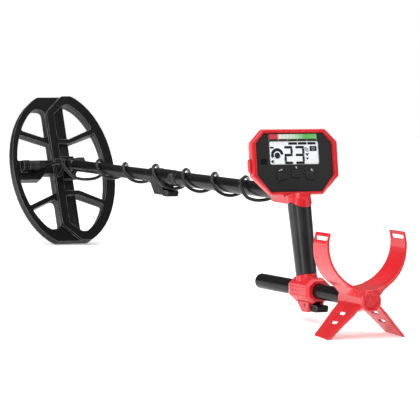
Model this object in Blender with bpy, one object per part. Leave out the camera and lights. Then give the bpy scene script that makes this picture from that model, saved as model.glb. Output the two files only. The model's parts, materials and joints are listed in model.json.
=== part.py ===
"""Handheld metal detector with a telescoping shaft, modelled as an assembly of separate parts.

Units are metres and +Z is up. +X points forward, from the armrest to the search coil, and +Y points to
the user's left. The detector stands on the armrest's two legs and on the lower rim of the coil, the
floor is Z = 0, and the origin lies halfway along it. The long parts are modelled in a shaft frame whose
X axis is the armrest tube's axis. The coil, the control pod and the handle each lean by an angle of their
own inside that frame.
"""
import math

import bmesh
import bpy
from mathutils import Matrix, Vector

# Clearances
GAP = 0.0003                    # between pieces that touch
BORE_GAP = 0.0003               # radial, between a pin and its hole

# Shaft layout, in the shaft frame (s forward, h up from the armrest tube's axis)
HUB_X = -0.5366                 # the armrest hub, so that the origin is halfway along the detector
SHAFT_PITCH = 3.0               # degrees that the shaft slopes down towards the coil
MAIN_AXIS_H = 0.1327            # height of the main tube's axis over the armrest tube's axis
HINGE_S = 1.0184                # coil hinge, along the shaft
COIL_LEAN = 25.0                # degrees that the coil's top leans forward from vertical
POD_LEAN = 9.0                  # degrees that the pod leans forward in the shaft frame
GRIP_LEAN = 14.0                # degrees that the grip leans forward in the shaft frame

# Tubes (radii)
LOWER_R = 0.0095
LOWER_BORE = 0.0080
LOWER_START = 0.430
LOWER_END = 0.985
UPPER_R = 0.0110
UPPER_BORE = 0.0099
UPPER_START = 0.2070
UPPER_END = 0.672
ARM_TUBE_R = 0.0110
ARM_TUBE_BORE = 0.0097
ARM_TUBE_START = -0.030
ARM_TUBE_END = 0.297

# Coil, in the coil frame: X runs from the hinge axis towards the ground side, Z along the coil
COIL_A = 0.089                  # half width
COIL_B = 0.1335                 # half length of the full ellipse
COIL_HALF_LENGTH = 0.126        # the ellipse is cut off flat here
COIL_RAISED_X = 0.0150          # outer face of the raised right D
COIL_BASE_X = 0.0210            # outer face of the base plate
COIL_LOWER_X = 0.0350           # underside of the housing
SKID_THICKNESS = 0.0020
LEFT_WINDOW = (0.0805, 0.119)   # inner ellipse of the left D
RAISED_WINDOW = (0.0725, 0.1165)  # inner ellipse of the raised right D
BASE_WINDOW = (0.0750, 0.1175)  # inner ellipse of the base plate's right side
LEFT_EDGE = 0.020               # inboard edge of the left windows
RAISED_EDGE = 0.0055            # inboard edge of the raised D's windows
BASE_EDGE = -0.014              # inboard edge of the base plate's right windows
RAISED_SIDE = 0.0185            # straight side of the raised D
WINDING_WIDTH = 0.0034
FLANK_STEPS = 20

# Coil hinge
BOLT_R = 0.0030
TONGUE_HALF = 0.0080
WASHER_THICKNESS = 0.0017
EAR_THICKNESS = 0.0050
EAR_R = 0.0110

# Cable gland, in the coil frame
GLAND_X = 0.0120
GLAND_Z = 0.0040
GLAND_Y = 0.0640
GLAND_LENGTH = 0.0270

# Clamps: pin position relative to the clamped tube's axis
FRONT_PIN_S = 0.638
REAR_PIN_S = 0.140
PIN_DROP = 0.0209
PIN_R = 0.0020
SLOT_ROOF = -0.0140             # top of the slot that the cam turns in
CAM_R = 0.0065
LEVER_HALF = 0.0057
LEVER_REACH = 0.030
PADDLE_HALF = 0.0092

# Pod, in the pod frame: X runs forward from the face, Z up along the face
POD_S = 0.1925
POD_H = 0.1666
POD_DEPTH = 0.040
POD_APRON = 0.010
PANEL_FRONT = 0.0034            # the panel is recessed inside the rim
PANEL_BACK = 0.0052
RIM_BEVEL = 0.0026
CELL_R = 0.0070
CELL_LENGTH = 0.0505
CELL_X = 0.0240
CELL_PITCH = 0.0146
KEYPAD_FRONT = 0.0067
BUTTON_GAP = 0.0008
BUTTON_RISE = 0.0018             # how far a button stands out of the panel
BUTTON_HALF = (0.0076, 0.0056)
BUTTON_CORNER = 0.0028
BUTTONS = (
    ("left", 0.0215, -0.0078, -12.0),
    ("middle", -0.0010, -0.0052, 0.0),
    ("right", -0.0235, -0.0078, 12.0),
)
WINDOW_HALF = 0.0390
WINDOW_HEIGHTS = (0.0085, 0.0413)
CASE_SCREWS = ((0.043, 0.037), (-0.043, 0.037), (0.045, -0.0015), (-0.045, -0.0015))
SOCKET_PLACE = (-0.043, 0.015)
SOCKET_END = 0.0430
PLUG_LENGTH = 0.0340
JACK_PLACE = (0.044, 0.016)

# Grip, in the grip frame: Z runs up the grip from the rear clamp
GRIP_S = 0.1578
GRIP_H = 0.0185
GRIP_R = 0.0168                 # at the top
GRIP_FOOT_R = 0.0150
GRIP_LENGTH = 0.1040
CORE_R = 0.0090

# Armrest, in the shaft frame
ARM_CENTRE_H = 0.0735           # centre of the U over the tube axis
ARM_OUTER_R = 0.0615
ARM_WALL = 0.0033
ARM_TIP_H = 0.0930
HUB_R = 0.0150
HUB_HALF = 0.0370
TIP_HALF = 0.0205               # half widths along X, at the arms' tips and at the legs' feet
FOOT_HALF = 0.0230
LEG_FOOT_Y = 0.0570
LEG_WALL = 0.0036

# Cable
CABLE_R = 0.0025
WRAP_TOPS = (0.891, 0.788, 0.672, 0.561, 0.460, 0.355)
TOP_RADII = (0.0136, 0.0134, 0.0165, 0.0156, 0.0152, 0.0152)
BOTTOM_RADII = (0.0128, 0.0130, 0.0160, 0.0152, 0.0152, 0.0152)
TURN_SWEEPS = (0.0, 0.0, 0.12, 0.0, 0.0, 0.0)   # how far each near strand runs ahead of a plain helix
POINTS_PER_TURN = 12
LEAD_POINTS = (
    (0.990, 0.0260, 0.1370),
    (0.972, 0.0215, 0.1260),
    (0.950, 0.0180, 0.1160),
    (0.928, 0.0100, 0.1135),
    (0.914, -0.0040, 0.1160),
    (0.905, -0.0130, 0.1245),
    (0.897, -0.0135, 0.1385),
)
TAIL_POINTS = (
    (0.340, 0.0165, 0.1400),
    (0.325, 0.0125, 0.1205),
    (0.308, -0.0030, 0.1165),
    (0.292, -0.0210, 0.1255),
    (0.284, -0.0370, 0.1480),
)

SEGMENTS = 24
TUBE_SEGMENTS = 32


# ---------------------------------------------------------------- scene helpers

def clear_scene():
    for obj in list(bpy.data.objects):
        bpy.data.objects.remove(obj, do_unlink=True)


def material(name, colour, roughness, metallic=0.0):
    """A Principled material, made once for each name."""
    found = bpy.data.materials.get(name)
    if found:
        return found
    made = bpy.data.materials.new(name)
    made.use_nodes = True
    shader = made.node_tree.nodes["Principled BSDF"]
    shader.inputs["Base Color"].default_value = (*colour, 1.0)
    shader.inputs["Roughness"].default_value = roughness
    shader.inputs["Metallic"].default_value = metallic
    return made


def make_frame(name, parent, location, lean=0.0):
    """An empty that carries pieces, leaning about Y by the given degrees."""
    empty = bpy.data.objects.new(name, None)
    bpy.context.scene.collection.objects.link(empty)
    empty.parent = parent
    empty.location = location
    empty.rotation_euler = (0.0, math.radians(lean), 0.0)
    return empty


def add_object(name, bm, mat, parent, location=(0.0, 0.0, 0.0)):
    """Turn a bmesh into a named, shaded object on its frame."""
    bmesh.ops.recalc_face_normals(bm, faces=bm.faces)
    mesh = bpy.data.meshes.new(name)
    bm.to_mesh(mesh)
    bm.free()
    mesh.shade_smooth()
    mesh.set_sharp_from_angle(angle=math.radians(35.0))
    obj = bpy.data.objects.new(name, mesh)
    bpy.context.scene.collection.objects.link(obj)
    obj.parent = parent
    obj.location = location
    obj.data.materials.append(mat)
    return obj


def combine(target, bm, operation, location=(0.0, 0.0, 0.0), parent=None):
    """Cut or join a bmesh with a target object, through a hidden guide object."""
    count = len(target.modifiers)
    guide_name = f"guide_{target.name}_{count}"
    guide = add_object(guide_name, bm, target.data.materials[0], parent or target.parent, location)
    guide.hide_render = True
    guide.display_type = "WIRE"
    modifier = target.modifiers.new(guide_name, "BOOLEAN")
    modifier.operation = operation
    modifier.solver = "EXACT"
    modifier.object = guide
    return guide


# ---------------------------------------------------------------- shape helpers

AXES = {
    "X": lambda a, b, t: (t, a, b),
    "Y": lambda a, b, t: (a, t, b),
    "Z": lambda a, b, t: (a, b, t),
}


def prism(outline, low, high, axis, holes=()):
    """Extrude a flat outline, with holes, along an axis."""
    place = AXES[axis]
    bm = bmesh.new()
    for loop in (outline, *holes):
        rims = [[bm.verts.new(place(a, b, t)) for a, b in loop] for t in (low, high)]
        count = len(loop)
        for i in range(count):
            j = (i + 1) % count
            bm.faces.new((rims[0][i], rims[0][j], rims[1][j], rims[1][i]))
    bm.edges.ensure_lookup_table()
    for t in (low, high):
        index = "XYZ".index(axis)
        rim_edges = [e for e in bm.edges if all(abs(v.co[index] - t) < 1e-6 for v in e.verts)]
        bmesh.ops.triangle_fill(bm, edges=rim_edges, use_beauty=True)
    return bm


def block(x_range, y_range, z_range):
    corners = [(y, z) for y, z in zip((0, 1, 1, 0), (0, 0, 1, 1))]
    outline = [(y_range[i], z_range[j]) for i, j in corners]
    return prism(outline, x_range[0], x_range[1], "X")


def turned(profile, axis, segments=SEGMENTS, centre=(0.0, 0.0)):
    """Revolve (radius, position) points round an axis. A profile that starts and ends at radius 0 is
    capped flat at both ends, and any other profile is a closed loop."""
    place = AXES[axis]
    capped = profile[0][0] == 0.0
    if capped:
        profile = profile[1:-1]
    bm = bmesh.new()
    rings = []
    for radius, t in profile:
        ring = []
        for i in range(segments):
            angle = 2.0 * math.pi * i / segments
            a = centre[0] + radius * math.cos(angle)
            b = centre[1] + radius * math.sin(angle)
            ring.append(bm.verts.new(place(a, b, t)))
        rings.append(ring)
    pairs = list(zip(rings, rings[1:]))
    if capped:
        bm.faces.new(rings[0])
        bm.faces.new(rings[-1])
    else:
        pairs.append((rings[-1], rings[0]))
    for first, second in pairs:
        for i in range(segments):
            j = (i + 1) % segments
            bm.faces.new((first[i], first[j], second[j], second[i]))
    return bm


def rod(radius, start, end, axis, segments=SEGMENTS, centre=(0.0, 0.0)):
    return turned([(0.0, start), (radius, start), (radius, end), (0.0, end)], axis, segments, centre)


def pipe(outer, inner, start, end, axis, segments=SEGMENTS, centre=(0.0, 0.0)):
    profile = [(outer, start), (outer, end), (inner, end), (inner, start)]
    return turned(profile, axis, segments, centre)


def loft(sections):
    """Skin a list of equal point loops and cap both ends."""
    bm = bmesh.new()
    loops = [[bm.verts.new(point) for point in section] for section in sections]
    count = len(sections[0])
    for first, second in zip(loops, loops[1:]):
        for i in range(count):
            j = (i + 1) % count
            bm.faces.new((first[i], first[j], second[j], second[i]))
    bm.faces.new(loops[0])
    bm.faces.new(loops[-1])
    return bm


def arc(centre, radius, start, end, steps):
    """Points on an arc between two angles in degrees."""
    points = []
    for i in range(steps + 1):
        angle = math.radians(start + (end - start) * i / steps)
        points.append((centre[0] + radius * math.cos(angle), centre[1] + radius * math.sin(angle)))
    return points


def ellipse_side(axes, low, high, side, steps):
    """Points on one side of an ellipse, from height low to height high."""
    start = math.asin(low / axes[1])
    end = math.asin(high / axes[1])
    points = []
    for i in range(steps + 1):
        angle = start + (end - start) * i / steps
        points.append((side * axes[0] * math.cos(angle), axes[1] * math.sin(angle)))
    return points


def rounded(points, radius, steps=3, sharpest=150.0):
    """Round the corners of an outline that turn sharply, with arcs no longer than the sides allow."""
    result = []
    count = len(points)
    for i in range(count):
        corner = Vector(points[i])
        before = Vector(points[i - 1]) - corner
        after = Vector(points[(i + 1) % count]) - corner
        opening = before.angle(after)
        if math.degrees(opening) > sharpest:
            result.append(tuple(corner))
            continue
        reach = min(radius / math.tan(opening / 2), 0.45 * before.length, 0.45 * after.length)
        start = corner + before.normalized() * reach
        end = corner + after.normalized() * reach
        for k in range(steps + 1):
            t = k / steps
            point = start * (1 - t) ** 2 + corner * 2 * t * (1 - t) + end * t ** 2
            result.append(tuple(point))
    return result


# ---------------------------------------------------------------- coil

def coil_outline():
    right = ellipse_side((COIL_A, COIL_B), -COIL_HALF_LENGTH, COIL_HALF_LENGTH, -1, FLANK_STEPS)
    left = ellipse_side((COIL_A, COIL_B), COIL_HALF_LENGTH, -COIL_HALF_LENGTH, 1, FLANK_STEPS)
    return rounded(right + left, 0.012)


def raised_outline():
    right = ellipse_side((COIL_A, COIL_B), -COIL_HALF_LENGTH, COIL_HALF_LENGTH, -1, FLANK_STEPS)
    straight = [(-0.012, COIL_HALF_LENGTH), (RAISED_SIDE, 0.098), (RAISED_SIDE, -0.098)]
    return rounded(right + straight + [(-0.012, -COIL_HALF_LENGTH)], 0.010)


def left_windows():
    """Four openings of the left D, split by two spokes and the cable panel."""
    top = [(LEFT_EDGE, 0.0520)] + ellipse_side(LEFT_WINDOW, 0.0680, 0.100, 1, 5)
    top += [(0.036, 0.105), (LEFT_EDGE, 0.103)]
    upper = [(LEFT_EDGE, 0.0155)] + ellipse_side(LEFT_WINDOW, 0.0155, 0.0605, 1, 6)
    upper += [(LEFT_EDGE, 0.0435)]
    lower = [(0.035, -0.0085), (LEFT_EDGE, -0.0085), (LEFT_EDGE, -0.0420)]
    lower += ellipse_side(LEFT_WINDOW, -0.0625, -0.0185, 1, 6) + [(0.044, -0.0185)]
    bottom = [(LEFT_EDGE, -0.0505), (LEFT_EDGE, -0.103), (0.036, -0.105)]
    bottom += ellipse_side(LEFT_WINDOW, -0.100, -0.0700, 1, 5)
    return [rounded(top, 0.008), rounded(upper, 0.002), rounded(lower, 0.002), rounded(bottom, 0.008)]


def right_windows(edge, corner_height, window):
    """Three openings of the right D; the spokes run level up to their knee and then slope outwards."""
    knee = -0.0145
    top = [(edge, corner_height), (edge, 0.0500), (knee - 0.0005, 0.0500)]
    top += ellipse_side(window, 0.0680, 0.104, -1, 5) + [(-0.024, 0.1105), (knee, 0.1105)]
    middle = [(edge, 0.0425), (edge, -0.0400), (knee - 0.0055, -0.0400)]
    middle += ellipse_side(window, -0.0585, 0.0600, -1, 12) + [(knee - 0.0005, 0.0425)]
    bottom = [(edge, -0.0475), (edge, -corner_height), (knee, -0.1105), (-0.024, -0.1105)]
    bottom += ellipse_side(window, -0.104, -0.0645, -1, 5) + [(knee - 0.0025, -0.0475)]
    return [rounded(top, 0.007), rounded(middle, 0.002), rounded(bottom, 0.007)]


def loop_outline(half_width, half_length, inboard, side, steps=16):
    """One D-shaped loop: a straight inboard side and an elliptical outer side."""
    reach = 0.95 * half_length
    curve = ellipse_side((half_width, half_length), -reach, reach, side, steps)
    return curve + [(inboard, reach), (inboard, -reach)]


def ear(y_low, y_high):
    """A lug of the coil's clevis, round about the bolt."""
    outline = [(COIL_RAISED_X + 0.002, -0.016)] + arc((0.0, 0.0), EAR_R, 250.0, 110.0, 8)
    outline += [(COIL_RAISED_X + 0.002, 0.016)]
    return prism(outline, y_low, y_high, "Y")


def build_coil(coil_frame, black, copper, rubber):
    base_windows = left_windows() + right_windows(BASE_EDGE, 0.1020, BASE_WINDOW)
    base = prism(coil_outline(), COIL_BASE_X, COIL_LOWER_X, "X", base_windows)
    housing = add_object("coil_housing", base, black, coil_frame)
    raised = prism(raised_outline(), COIL_RAISED_X, COIL_BASE_X + 0.001, "X",
                   right_windows(RAISED_EDGE, 0.0950, RAISED_WINDOW))
    combine(housing, raised, "UNION")
    pad = block((COIL_RAISED_X + 0.0005, COIL_BASE_X + 0.0005), (-0.0185, 0.0180), (-0.020, 0.020))
    combine(housing, pad, "UNION")
    ear_start = TONGUE_HALF + WASHER_THICKNESS + 2 * GAP
    for side in (-1, 1):
        ends = sorted((side * ear_start, side * (ear_start + EAR_THICKNESS)))
        combine(housing, ear(*ends), "UNION")
    boss_outline = arc((GLAND_X + 0.001, GLAND_Z), 0.0090, 270.0, 90.0, 8)
    boss_outline += [(COIL_BASE_X + 0.001, GLAND_Z + 0.009), (COIL_BASE_X + 0.001, GLAND_Z - 0.009)]
    combine(housing, prism(boss_outline, GLAND_Y + 2 * GAP, GLAND_Y + 0.012, "Y"), "UNION")
    combine(housing, rod(BOLT_R + BORE_GAP, -0.030, 0.030, "Y"), "DIFFERENCE")

    # Winding channels, open underneath, and the windings at two depths where they cross
    loops = (("left", 0.0847, 0.1225, -0.0060, 1, 0.0285), ("right", 0.0790, 0.1205, 0.0125, -1, 0.0225))
    for name, half_width, half_length, inboard, side, depth in loops:
        half = WINDING_WIDTH / 2
        room = half + GAP
        outer = loop_outline(half_width + room, half_length + room, inboard - side * room, side)
        inner = loop_outline(half_width - room, half_length - room, inboard + side * room, side)
        channel = prism(outer, depth - GAP, COIL_LOWER_X + 0.001, "X", [inner])
        combine(housing, channel, "DIFFERENCE")
        outer = loop_outline(half_width + half, half_length + half, inboard - side * half, side)
        inner = loop_outline(half_width - half, half_length - half, inboard + side * half, side)
        winding = prism(outer, depth, depth + 0.0045, "X", [inner])
        add_object(f"coil_winding_{name}", winding, copper, coil_frame)

    skid_start = COIL_LOWER_X + GAP
    skid = prism(coil_outline(), skid_start, skid_start + SKID_THICKNESS, "X", base_windows)
    add_object("coil_skid_plate", skid, black, coil_frame)

    gland_end = GLAND_Y - GLAND_LENGTH
    rings = [(CABLE_R + BORE_GAP, GLAND_Y), (0.0070, GLAND_Y)]
    for i in range(2):
        start = GLAND_Y - 0.0015 - 0.0035 * i
        rings += [(0.0070, start), (0.0080, start - 0.0005), (0.0080, start - 0.0020)]
        rings += [(0.0070, start - 0.0025)]
    rings += [(0.0080, GLAND_Y - 0.0095), (0.0080, GLAND_Y - 0.0165), (0.0062, GLAND_Y - 0.0185)]
    rings += [(0.0042, gland_end), (CABLE_R + BORE_GAP, gland_end)]
    add_object("cable_gland", turned(rings, "Y", centre=(GLAND_X, GLAND_Z)), rubber, coil_frame)

    ear_outer = ear_start + EAR_THICKNESS
    knob_end = -(ear_outer + GAP + 0.0120)
    bolt = [(0.0, knob_end + 0.003), (BOLT_R, knob_end + 0.003), (BOLT_R, ear_outer + GAP)]
    bolt += [(0.0065, ear_outer + GAP), (0.0065, ear_outer + 0.0040), (0.0050, ear_outer + 0.0050)]
    bolt += [(0.0, ear_outer + 0.0050)]
    add_object("hinge_bolt", turned(bolt, "Y"), black, coil_frame)
    knob_outline = []
    for i in range(30):
        angle = 2.0 * math.pi * i / 30
        radius = 0.0112 + 0.0009 * math.cos(6 * angle)
        knob_outline.append((radius * math.cos(angle), radius * math.sin(angle)))
    knob = add_object("hinge_knob", prism(knob_outline, knob_end, -(ear_outer + GAP), "Y"), black, coil_frame)
    combine(knob, rod(BOLT_R + BORE_GAP, knob_end + 0.0027, 0.0, "Y"), "DIFFERENCE")


# ---------------------------------------------------------------- shaft

def build_shaft(lower_frame, upper_frame, black, tube_black, rubber):
    """Positions along X are measured from the coil hinge on the lower shaft, in s on the upper one."""
    start = LOWER_START - HINGE_S
    end = LOWER_END - HINGE_S
    lower = pipe(LOWER_R, LOWER_BORE, start, end, "X", TUBE_SEGMENTS)
    add_object("lower_shaft", lower, tube_black, lower_frame)

    # Fork-side plug: a spigot in the tube, a round shoulder and a flat tongue round the bolt
    plug_r = LOWER_BORE - GAP
    tip = [(0.0, end - 0.035), (plug_r, end - 0.035), (plug_r, end + GAP), (LOWER_R, end + GAP)]
    tip += [(LOWER_R, end + 0.012), (0.0, end + 0.012)]
    shaft_tip = add_object("shaft_tip", turned(tip, "X"), black, lower_frame)
    tongue = [(end + 0.002, -0.0088)] + arc((0.0, 0.0), 0.0088, -90.0, 90.0, 10) + [(end + 0.002, 0.0088)]
    combine(shaft_tip, prism(tongue, -TONGUE_HALF, TONGUE_HALF, "Y"), "UNION")
    combine(shaft_tip, rod(BOLT_R + BORE_GAP, -0.030, 0.030, "Y"), "DIFFERENCE")
    for side, name in ((-1, "right"), (1, "left")):
        inner = side * (TONGUE_HALF + GAP)
        outer = side * (TONGUE_HALF + GAP + WASHER_THICKNESS)
        washer = pipe(0.0095, BOLT_R + BORE_GAP, min(inner, outer), max(inner, outer), "Y")
        add_object(f"friction_washer_{name}", washer, rubber, lower_frame)
    bush = [(0.0, start - 0.008), (UPPER_BORE - GAP, start - 0.008), (UPPER_BORE - GAP, start - GAP)]
    bush += [(plug_r, start - GAP), (plug_r, start + 0.016), (0.0, start + 0.016)]
    add_object("shaft_end_bush", turned(bush, "X"), rubber, lower_frame)

    upper = pipe(UPPER_R, UPPER_BORE, UPPER_START, UPPER_END, "X", TUBE_SEGMENTS)
    add_object("upper_tube", upper, tube_black, upper_frame)


def lever_head():
    """Side outline of a cam lever's head, round about the pin, with a stub towards the paddle."""
    return [(-0.013, -CAM_R)] + arc((0.0, 0.0), CAM_R, 270.0, 430.0, 9) + [(-0.0125, 0.0016)]


def build_cam_lever(name, frame, mat):
    lever = add_object(name, prism(lever_head(), -LEVER_HALF, LEVER_HALF, "Y"), mat, frame)
    paddle = [(-0.0125, -0.0078), (-0.0125, 0.0018), (-LEVER_REACH + 0.006, 0.0018)]
    paddle += [(-LEVER_REACH, 0.0018), (-LEVER_REACH - 0.003, -0.0005), (-LEVER_REACH, -0.0078)]
    combine(lever, prism(rounded(paddle, 0.002, 2), -PADDLE_HALF, PADDLE_HALF, "Y"), "UNION")
    combine(lever, rod(PIN_R + BORE_GAP, -0.02, 0.02, "Y", 12), "DIFFERENCE")


def build_front_clamp(upper_frame, lever_frame, black, steel):
    """A collar over the joint of the two tubes, stepped inside, with a cam block under it and a round
    boss on its left side."""
    inner_front = LOWER_R + GAP
    inner_rear = UPPER_R + GAP
    step = UPPER_END + GAP
    collar = [(inner_rear, 0.578), (0.0118, 0.578), (0.0121, 0.580), (0.0121, 0.600), (0.0126, 0.603)]
    collar += [(0.0126, 0.648), (0.0131, 0.649), (0.0131, 0.655), (0.0126, 0.656), (0.0120, 0.686)]
    collar += [(inner_front, 0.686), (inner_front, step), (inner_rear, step)]
    clamp = add_object("front_clamp", turned(collar, "X", TUBE_SEGMENTS), black, upper_frame)
    pin_s = FRONT_PIN_S
    side = [(pin_s - 0.012, -0.0070), (pin_s - 0.012, -PIN_DROP - 0.0015)]   # clear of the paddle's swing
    side += [(pin_s - 0.0098, -0.0270), (pin_s + 0.016, -0.0270)]
    side += [(pin_s + 0.032, -0.0090), (pin_s + 0.032, -0.0070)]
    combine(clamp, prism(side, -0.0100, 0.0100, "Y"), "UNION")
    combine(clamp, rod(0.0078, 0.0080, 0.0133, "Y", 20, (0.5905, 0.0)), "UNION")
    bore = [(0.0, 0.560), (inner_rear, 0.560), (inner_rear, step), (inner_front, step)]
    bore += [(inner_front, 0.700), (0.0, 0.700)]
    combine(clamp, turned(bore, "X", TUBE_SEGMENTS), "DIFFERENCE")
    room = LEVER_HALF + GAP
    combine(clamp, block((pin_s - 0.032, pin_s + 0.0085), (-room, room), (-0.030, SLOT_ROOF)), "DIFFERENCE")
    combine(clamp, rod(PIN_R + BORE_GAP, -0.02, 0.02, "Y", 12, (pin_s, -PIN_DROP)), "DIFFERENCE")
    build_cam_lever("front_cam_lever", lever_frame, black)
    pin = rod(PIN_R, -0.0098, 0.0098, "Y", 12)
    add_object("front_cam_pin", pin, steel, lever_frame)


def build_rear_clamp(root_frame, grip_frame, lever_frame, red, black, steel):
    """The moulding that joins the grip to the armrest tube: an octagonal band over a cam block."""
    flat = 0.0190
    corner = 0.0085
    band = [(-flat, -corner), (-corner, -flat + 0.001), (corner, -flat + 0.001), (flat, -corner)]
    band += [(flat, corner), (corner, flat - 0.001), (-corner, flat - 0.001), (-flat, corner)]
    small = [(a * 0.84, b * 0.84) for a, b in band]
    rings = ((0.118, small), (0.124, band), (0.172, band), (0.182, small))
    sections = [[(x, a, b) for a, b in outline] for x, outline in rings]
    clamp = add_object("rear_clamp", loft(sections), red, root_frame)
    neck = [(0.0, -0.014), (0.0158, -0.014), (0.0152, 0.0006), (0.0, 0.0006)]
    combine(clamp, turned(neck, "Z"), "UNION", parent=grip_frame)
    pin_s = REAR_PIN_S
    jaw = [(pin_s - 0.012, -0.016), (pin_s - 0.012, -PIN_DROP - 0.0015)]
    jaw += [(pin_s - 0.0106, -PIN_DROP - 0.0050), (pin_s - 0.0078, -0.0300)]
    jaw += [(pin_s + 0.008, -0.0300), (pin_s + 0.024, -0.016)]
    combine(clamp, prism(jaw, -0.0120, 0.0120, "Y"), "UNION")
    for height in (-0.0058, 0.0, 0.0058):
        for side in (-1, 1):
            ends = sorted((side * (flat - 0.0007), side * (flat + 0.001)))
            groove = block((0.1265, 0.1695), ends, (height - 0.0006, height + 0.0006))
            combine(clamp, groove, "DIFFERENCE")
    combine(clamp, rod(ARM_TUBE_R + GAP, 0.100, 0.200, "X", TUBE_SEGMENTS), "DIFFERENCE")
    combine(clamp, rod(CORE_R + GAP, -0.0055, 0.010, "Z"), "DIFFERENCE", parent=grip_frame)
    seat = rod(GRIP_FOOT_R + 0.0008, 0.0010 - GAP, 0.020, "Z")
    combine(clamp, seat, "DIFFERENCE", parent=grip_frame)
    room = LEVER_HALF + GAP
    combine(clamp, block((pin_s - 0.032, pin_s + 0.0085), (-room, room), (-0.034, SLOT_ROOF)), "DIFFERENCE")
    combine(clamp, rod(PIN_R + BORE_GAP, -0.03, 0.03, "Y", 12, (pin_s, -PIN_DROP)), "DIFFERENCE")
    build_cam_lever("rear_cam_lever", lever_frame, black)
    add_object("rear_cam_pin", rod(PIN_R, -0.0116, 0.0116, "Y", 12), steel, lever_frame)


# ---------------------------------------------------------------- pod and handle

def octagon(x, top_half, side_half, top, side_top, side_bottom, bottom, bottom_half):
    """One section of the pod, given by its half widths and heights."""
    left = [(bottom_half, bottom), (side_half, side_bottom), (side_half, side_top), (top_half, top)]
    right = [(-y, z) for y, z in reversed(left)]
    return [(x, y, z) for y, z in left + right]


def panel_outline(shrink):
    section = octagon(0.0, 0.0467 - 0.6 * shrink, 0.0602 - shrink, 0.0528 - shrink, 0.0387 - 0.4 * shrink,
                      -0.0068 + 0.4 * shrink, -0.0303 + shrink, 0.0407 - 0.6 * shrink)
    return [(y, z) for _, y, z in section]


def button_outline(y, z, turn, grow=0.0, scale=1.0):
    """A rounded rectangle round (y, z), turned by the given degrees."""
    wide = (BUTTON_HALF[0] + grow) * scale
    tall = (BUTTON_HALF[1] + grow) * scale
    corners = [(-wide, -tall), (wide, -tall), (wide, tall), (-wide, tall)]
    c = math.cos(math.radians(turn))
    s = math.sin(math.radians(turn))
    outline = rounded(corners, BUTTON_CORNER * scale + grow)
    return [(y + a * c - b * s, z + a * s + b * c) for a, b in outline]


def build_pod_shell(pod_frame, red):
    outer = [
        octagon(0.0, 0.0482, 0.0665, 0.0572, 0.0395, -0.0085, -0.0338, 0.0402),
        octagon(0.0018, 0.0495, 0.0680, 0.0585, 0.0400, -0.0090, -0.0350, 0.0410),
        octagon(POD_APRON, 0.0495, 0.0680, 0.0585, 0.0400, -0.0090, -0.0350, 0.0410),
        octagon(0.0120, 0.0490, 0.0674, 0.0578, 0.0396, -0.0088, -0.0150, 0.0612),
        octagon(POD_DEPTH - 0.004, 0.0425, 0.0565, 0.0520, 0.0350, -0.0040, -0.0107, 0.0500),
        octagon(POD_DEPTH, 0.0400, 0.0535, 0.0495, 0.0330, -0.0030, -0.0095, 0.0470),
    ]
    housing = add_object("pod_housing", loft(outer), red, pod_frame)
    mouth = [(-0.001, *point) for point in panel_outline(-RIM_BEVEL)]
    seat = [(PANEL_FRONT - 0.0006, *point) for point in panel_outline(-GAP)]
    apron = [(POD_APRON - 0.0022, *point) for point in panel_outline(-GAP)]
    combine(housing, loft([mouth, seat, apron]), "DIFFERENCE")
    inner = [
        octagon(POD_APRON - 0.0030, 0.0460, 0.0598, 0.0525, 0.0370, -0.0062, -0.0120, 0.0570),
        octagon(POD_DEPTH - 0.0025, 0.0375, 0.0505, 0.0465, 0.0305, -0.0010, -0.0065, 0.0455),
    ]
    combine(housing, loft(inner), "DIFFERENCE")
    opening = block((POD_DEPTH - 0.005, POD_DEPTH + 0.001), (-0.0325, 0.0325), (-0.0040, 0.0440))
    combine(housing, opening, "DIFFERENCE")
    for y, z in CASE_SCREWS:
        hole = rod(0.0018, POD_DEPTH - 0.005, POD_DEPTH + 0.001, "X", 10, (y, z))
        combine(housing, hole, "DIFFERENCE")
    socket_hole = rod(0.0062, POD_DEPTH - 0.005, POD_DEPTH + 0.001, "X", 20, SOCKET_PLACE)
    combine(housing, socket_hole, "DIFFERENCE")
    jack_hole = rod(0.0042, POD_DEPTH - 0.005, POD_DEPTH + 0.001, "X", 16, JACK_PLACE)
    combine(housing, jack_hole, "DIFFERENCE")
    side_hole = block((0.0046, 0.0124), (0.0580, 0.0700), (-0.0034, 0.0174))
    combine(housing, side_hole, "DIFFERENCE")


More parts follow.
